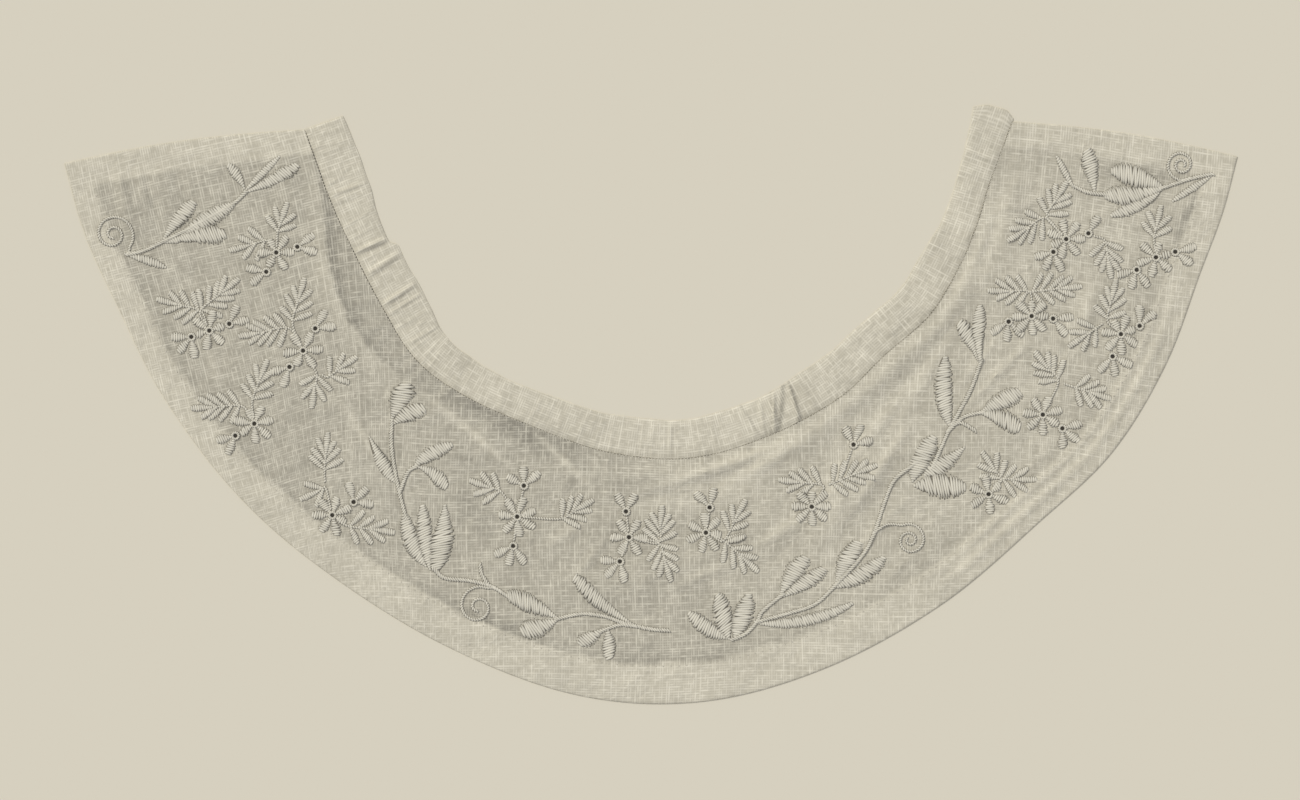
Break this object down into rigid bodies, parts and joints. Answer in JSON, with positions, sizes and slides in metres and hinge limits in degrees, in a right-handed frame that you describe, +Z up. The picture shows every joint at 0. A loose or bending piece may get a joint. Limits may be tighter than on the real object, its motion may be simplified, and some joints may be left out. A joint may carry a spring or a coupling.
{
  "type": "linen collar",
  "caption": "Flat crescent collar of sheer linen with a bound neck, turned hems and whitework flowers, sprays and trailing stems, laid open.",
  "frame": {"origin": "middle of the base of the collar's box, on the surface it lies on", "axes": "+X towards the wearer's right front as drawn, +Y towards the two front ends, +Z up out of the cloth's right side"},
  "size_m": [0.4692, 0.2396, 0.0058],
  "materials": {
    "single_linen": "sheer plain-weave linen, one layer",
    "double_linen": "plain-weave linen turned under or folded double",
    "cotton_thread": "padded satin stitch in soft off-white thread"
  },
  "bodies": {
    "root": {"collar_panel": "single_linen", "front_hem_left": "double_linen", "front_hem_right": "double_linen", "neckband": "double_linen", "outer_hem": "double_linen", "spray_01": "cotton_thread", "spray_02": "cotton_thread", "spray_03": "cotton_thread", "spray_04": "cotton_thread", "spray_05": "cotton_thread", "spray_06": "cotton_thread", "spray_07": "cotton_thread", "spray_08": "cotton_thread", "spray_09": "cotton_thread", "spray_10": "cotton_thread", "spray_11": "cotton_thread", "spray_12": "cotton_thread", "spray_13": "cotton_thread", "spray_14": "cotton_thread", "spray_15": "cotton_thread", "vine_left": "cotton_thread", "vine_low": "cotton_thread", "vine_right": "cotton_thread", "vine_top": "cotton_thread"}
  },
  "joints": []
}
